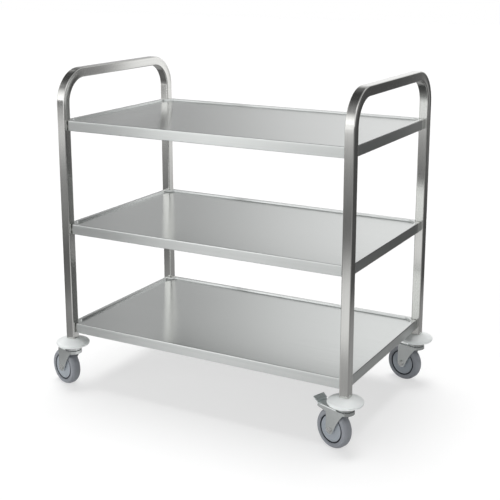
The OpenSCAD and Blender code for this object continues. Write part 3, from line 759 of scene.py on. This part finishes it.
# Stage: a white floor and background, and cards round the trolley that only its metal sees

stageSet = {
    "floorSize": 30.0, "floorColour": 0.9, "shadowShare": 0.5, "worldLight": 0.36,
    "sunLight": 0.63, "sunAngle": 32.0, "sunFrom": (-0.08, 0.11, 1.0),
    "fillLight": 0.3, "fillAngle": 50.0, "fillFrom": (-0.3, -0.9, 0.2),
}

# What the metal sees in the floor: a lit pool in front, a dimmer one to the right and behind, and patches of
# painted shadow where the trolley shades the floor, each with its middle, its half sizes and its least level
poolSet = {
    "middle": (0.8, -0.77), "stretch": 1.1, "reach": 6.0,
    "ahead": [(0.075, 0.6), (0.103, 0.8), (0.125, 1.03), (0.192, 0.95), (0.222, 0.7), (0.25, 0.46),
              (0.292, 0.2), (0.35, 0.14), (0.433, 0.26), (0.6, 0.34), (0.72, 0.6), (0.85, 1.0), (1.0, 1.2)],
    "across": (0.824, 0.567, 0.0), "acrossReach": 5.0,
    "beside": [(0.16, 0.36), (0.215, 0.31), (0.26, 0.09), (0.37, 0.085), (0.47, 0.13), (0.6, 0.25),
               (0.72, 0.28), (0.88, 0.34)],
    "rightEdge": (0.34, 0.5), "backEdge": (0.3, 0.5),
    "trolleyShadowPatches": [(-0.2, -0.62, 0.75, 0.35, 0.65), (0.2, 0.05, 0.36, 0.55, 0.5)],
}

# Each card's level runs across it, and is then multiplied by one that runs up it
studioCards = {
    "backRightFlag": {
        "middle": (2.29, 1.175, 1.5), "size": (3.3, 3.4), "facing": (-0.5, -0.86, 0), "edge": 0.1,
        "across": [(0, 0.085), (1, 0.085)],
        "up": [(0, 1), (0.3, 1), (0.42, 3), (0.6, 6), (1, 7)],
    },
    "highSoftbox": {
        "middle": (-2.27, -4.35, 3.0), "size": (6.6, 4.6), "facing": (0.4, 0.9, 0), "edge": 0.05,
        "across": [(0, 1.4), (1, 1.4)],
        "up": [(0, 1.25), (0.25, 1.25), (0.42, 1), (0.58, 0.7), (0.8, 0.3), (1, 0.2)],
    },
    "lowSoftbox": {
        "middle": (-2.2, -4.2, 0.6), "size": (4.2, 1.2), "facing": (0.4, 0.9, 0), "edge": 0.12,
        "across": [(0.329, 1.3), (0.39, 1.6), (0.433, 2.1), (0.505, 2.5), (0.576, 2.4), (0.612, 2.0),
                   (0.641, 1.2), (0.676, 0.4), (0.745, 0.2)],
        "up": [(0, 1), (1, 1)],
    },
    "backCard": {
        "middle": (-1.9, 2.2, 1.7), "size": (5.4, 3.4), "facing": (0, -1, 0), "edge": 0.06,
        "across": [(0, 0.3), (0.4, 0.4), (0.48, 0.55), (0.56, 0.55), (0.614, 0.69), (0.671, 0.87),
                   (0.76, 1.08), (1, 1.12)],
        "up": [(0, 0.95), (0.48, 1), (0.72, 0.6), (0.9, 0.25)],
    },
    "backStrip": {
        "middle": (0.354, 1.178, 0.5), "size": (0.68, 1.0), "facing": (-0.56, -0.83, 0), "edge": 0.06,
        "across": [(0, 1.5), (0.58, 1.5), (0.74, 0.4), (1, 0.4)],
        "up": [(0, 0.33), (1, 1)],
    },
    "ceiling": {
        "middle": (-0.3, -0.05, 4.2), "size": (7.6, 7.3), "facing": (0, 0, -1), "edge": 0.06,
        "across": [(0, 0.4), (0.46, 0.36), (0.57, 0.08), (1, 0.08)],
        "up": [(0, 4), (0.15, 3.4), (0.29, 1.9), (0.42, 0.9), (0.62, 0.8), (0.8, 2.0), (1, 2.4)],
    },
}


def mixShaders(tree, factor, first, second, place):
    mix = addNode(tree, "ShaderNodeMixShader", place)
    if isinstance(factor, float):
        mix.inputs[0].default_value = factor
    else:
        tree.links.new(factor, mix.inputs[0])
    tree.links.new(first, mix.inputs[1])
    tree.links.new(second, mix.inputs[2])
    return mix.outputs[0]


def makeWorld():
    world = bpy.data.worlds.new("studio")
    world.use_nodes = True
    scene.world = world
    tree = world.node_tree
    tree.nodes.clear()
    path = addNode(tree, "ShaderNodeLightPath", (-900, 0))
    seen = mathNode(tree, "MAXIMUM", path.outputs["Is Camera Ray"], path.outputs["Is Glossy Ray"],
                    (-650, 100))
    seen = mathNode(tree, "MAXIMUM", seen, path.outputs["Is Transmission Ray"], (-450, 50))
    light = addNode(tree, "ShaderNodeBackground", (-200, 100))
    light.inputs["Color"].default_value = (1, 1, 1, 1)
    light.inputs["Strength"].default_value = stageSet["worldLight"]
    white = addNode(tree, "ShaderNodeBackground", (-200, -100))
    white.inputs["Color"].default_value = (1, 1, 1, 1)
    white.inputs["Strength"].default_value = 1.0
    out = addNode(tree, "ShaderNodeOutputWorld", (250, 0))
    tree.links.new(mixShaders(tree, seen, light.outputs[0], white.outputs[0], (50, 0)), out.inputs[0])


def stagePlane(name, material, sizeX, sizeY, matrix):
    bm = bmesh.new()
    bm.loops.layers.uv.new("card")
    bmesh.ops.create_grid(bm, x_segments=1, y_segments=1, size=0.5, calc_uvs=True)
    bmesh.ops.scale(bm, verts=bm.verts, vec=(sizeX, sizeY, 1))
    bmesh.ops.transform(bm, matrix=matrix, verts=bm.verts)
    mesh = bpy.data.meshes.new(name)
    bm.to_mesh(mesh)
    bm.free()
    mesh.materials.append(material)
    plane = bpy.data.objects.new(name, mesh)
    scene.collection.objects.link(plane)
    return plane


# The floor: white with a soft shadow to the camera, plain paper to the light, and a lit pool with painted
# trolley shadow to the metal

def makeFloor():
    material, tree, paper = newMaterial("studioFloor")
    output = tree.nodes["Material Output"]
    colour = stageSet["floorColour"]
    paper.inputs["Base Color"].default_value = (colour, colour, colour, 1)
    paper.inputs["Roughness"].default_value = 0.9
    paper.inputs["Specular IOR Level"].default_value = 0.0
    shadow = stageSet["shadowShare"]
    lit = colour * (stageSet["worldLight"] + stageSet["sunLight"])
    white = addNode(tree, "ShaderNodeEmission", (-200, -500))
    white.inputs["Strength"].default_value = (1.02 - shadow * lit) / (1 - shadow)
    place = addNode(tree, "ShaderNodeTexCoord", (-1300, 0))
    spot = place.outputs["Object"]
    middle, stretch = poolSet["middle"], poolSet["stretch"]
    shift = addNode(tree, "ShaderNodeMapping", (-1100, 0))
    shift.inputs["Location"].default_value = (-middle[0], -middle[1] * stretch, 0)
    shift.inputs["Scale"].default_value = (1, stretch, 1)
    tree.links.new(spot, shift.inputs["Vector"])
    length = addNode(tree, "ShaderNodeVectorMath", (-900, 0), operation="LENGTH")
    tree.links.new(shift.outputs[0], length.inputs[0])
    across = addNode(tree, "ShaderNodeVectorMath", (-900, -200), operation="DOT_PRODUCT")
    tree.links.new(spot, across.inputs[0])
    across.inputs[1].default_value = poolSet["across"]
    levels = []
    runs = ((length, "reach", "ahead"), (across, "acrossReach", "beside"))
    for index, (run, reach, stops) in enumerate(runs):
        ramp = addNode(tree, "ShaderNodeValToRGB", (-550, -250 * index))
        fillRamp(ramp, poolSet[stops])
        share = mathNode(tree, "DIVIDE", run.outputs["Value"], poolSet[reach], (-720, -200 * index))
        tree.links.new(share, ramp.inputs[0])
        levels.append(ramp.outputs[0])
    sides = addNode(tree, "ShaderNodeSeparateXYZ", (-900, 250))
    tree.links.new(spot, sides.inputs[0])
    masks = []
    for axis, edge in (("X", "rightEdge"), ("Y", "backEdge")):
        fade = addNode(tree, "ShaderNodeMapRange", (-700, 250), interpolation_type="SMOOTHSTEP")
        fade.inputs["From Min"].default_value, fade.inputs["From Max"].default_value = poolSet[edge]
        tree.links.new(sides.outputs[axis], fade.inputs["Value"])
        masks.append(fade.outputs[0])
    blend = addNode(tree, "ShaderNodeMix", (-250, 0), data_type="RGBA")
    tree.links.new(mathNode(tree, "MAXIMUM", *masks, (-450, 250)), blend.inputs[0])
    tree.links.new(levels[0], blend.inputs[6])
    tree.links.new(levels[1], blend.inputs[7])
    pool = addNode(tree, "ShaderNodeEmission", (-100, 0))
    tree.links.new(blend.outputs[2], pool.inputs["Color"])
    shares = []
    # Painted shadow of the trolley: the pool the metal sees is dimmed near and under it
    for index, (shadowX, shadowY, halfX, halfY, least) in enumerate(poolSet["trolleyShadowPatches"]):
        shadowPlace = addNode(tree, "ShaderNodeMapping", (-1100, 500 + 250 * index))
        shadowPlace.inputs["Location"].default_value = (-shadowX / halfX, -shadowY / halfY, 0)
        shadowPlace.inputs["Scale"].default_value = (1 / halfX, 1 / halfY, 1)
        tree.links.new(spot, shadowPlace.inputs["Vector"])
        fromShadowMiddle = addNode(tree, "ShaderNodeVectorMath", (-900, 500 + 250 * index), operation="LENGTH")
        tree.links.new(shadowPlace.outputs[0], fromShadowMiddle.inputs[0])
        share = addNode(tree, "ShaderNodeMapRange", (-700, 500 + 250 * index),
                        interpolation_type="SMOOTHSTEP")
        share.inputs["From Min"].default_value = 0.6
        share.inputs["To Min"].default_value = least
        tree.links.new(fromShadowMiddle.outputs["Value"], share.inputs["Value"])
        shares.append(share.outputs[0])
    tree.links.new(mathNode(tree, "MULTIPLY", *shares, (-500, 500)), pool.inputs["Strength"])
    path = addNode(tree, "ShaderNodeLightPath", (-400, 400))
    toMetal = mixShaders(tree, path.outputs["Is Glossy Ray"], paper.outputs[0], pool.outputs[0], (200, 100))
    toCamera = mixShaders(tree, 1 - shadow, paper.outputs[0], white.outputs[0], (200, -300))
    shader = mixShaders(tree, path.outputs["Is Camera Ray"], toMetal, toCamera, (400, 0))
    tree.links.new(shader, output.inputs["Surface"])
    stagePlane("floor", material, stageSet["floorSize"], stageSet["floorSize"], Matrix.Identity(4))


def cardMaterial(name, card):
    material, tree, shader = newMaterial(name)
    tree.nodes.remove(shader)
    glow = addNode(tree, "ShaderNodeEmission", (0, 100))
    clear = addNode(tree, "ShaderNodeBsdfTransparent", (0, -100))
    spot = addNode(tree, "ShaderNodeUVMap", (-1100, 0), uv_map="card")
    sides = addNode(tree, "ShaderNodeSeparateXYZ", (-900, 0))
    tree.links.new(spot.outputs[0], sides.inputs[0])
    masks = []
    for index, axis in enumerate("XY"):
        toMiddle = mathNode(tree, "PINGPONG", sides.outputs[axis], 0.5, (-700, -150 * index))
        fade = addNode(tree, "ShaderNodeMapRange", (-500, -200 * index), interpolation_type="SMOOTHSTEP")
        fade.inputs["From Max"].default_value = card["edge"]
        tree.links.new(toMiddle, fade.inputs["Value"])
        masks.append(fade.outputs[0])
    mask = mathNode(tree, "MULTIPLY", *masks, (-250, 0))
    runs = []
    for index, (axis, run) in enumerate((("X", "across"), ("Y", "up"))):
        ramp = addNode(tree, "ShaderNodeValToRGB", (-500, 400 + 250 * index))
        fillRamp(ramp, card[run])
        tree.links.new(sides.outputs[axis], ramp.inputs[0])
        runs.append(ramp.outputs[0])
    tree.links.new(mathNode(tree, "MULTIPLY", *runs, (-200, 400)), glow.inputs["Strength"])
    output = tree.nodes["Material Output"]
    shown = mixShaders(tree, mask, clear.outputs[0], glow.outputs[0], (200, 0))
    tree.links.new(shown, output.inputs["Surface"])
    return material


def makeCard(name, card):
    turn = Vector(card["facing"]).to_track_quat("Z", "Y").to_matrix().to_4x4()
    matrix = Matrix.Translation(card["middle"]) @ turn
    plane = stagePlane(name, cardMaterial(name, card), *card["size"], matrix)
    plane.visible_camera = False
    plane.visible_diffuse = False
    plane.visible_transmission = False
    plane.visible_volume_scatter = False
    plane.visible_shadow = False


def makeSun(name):
    data = bpy.data.lights.new(f"{name}Lamp", "SUN")
    data.angle = math.radians(stageSet[f"{name}Angle"])
    data.energy = stageSet[f"{name}Light"] * math.pi
    lamp = bpy.data.objects.new(f"{name}Lamp", data)
    scene.collection.objects.link(lamp)
    lamp.rotation_euler = Vector(stageSet[f"{name}From"]).to_track_quat("Z", "Y").to_euler()
    lamp.visible_glossy = False


makeWorld()
makeFloor()
makeSun("sun")
makeSun("fill")
for name, card in studioCards.items():
    makeCard(name, card)


# Camera: placed in the trolley's own frame from the front left leg's foot corner

cameraSet = {
    "fromCorner": (1.7400, -2.1110, 1.1650), "azimuth": 28.9, "down": 13.35, "focalPixels": 1040.5,
    "picture": 500, "sensor": 36.0, "shift": -0.0975,
}


def makeCamera():
    data = bpy.data.cameras.new("photoCamera")
    data.sensor_width = cameraSet["sensor"]
    data.lens = cameraSet["focalPixels"] * cameraSet["sensor"] / cameraSet["picture"]
    data.shift_y = cameraSet["shift"]
    data.clip_end = 100
    camera = bpy.data.objects.new("photoCamera", data)
    scene.collection.objects.link(camera)
    low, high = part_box("left_end_frame")
    camera.location = Vector((low.x, low.y, 0)) + Vector(cameraSet["fromCorner"])
    camera.rotation_euler = (math.radians(90 - cameraSet["down"]), 0, math.radians(cameraSet["azimuth"]))
    scene.camera = camera


makeCamera()
scene.view_settings.view_transform = "Standard"
print("stage, lights and camera made")
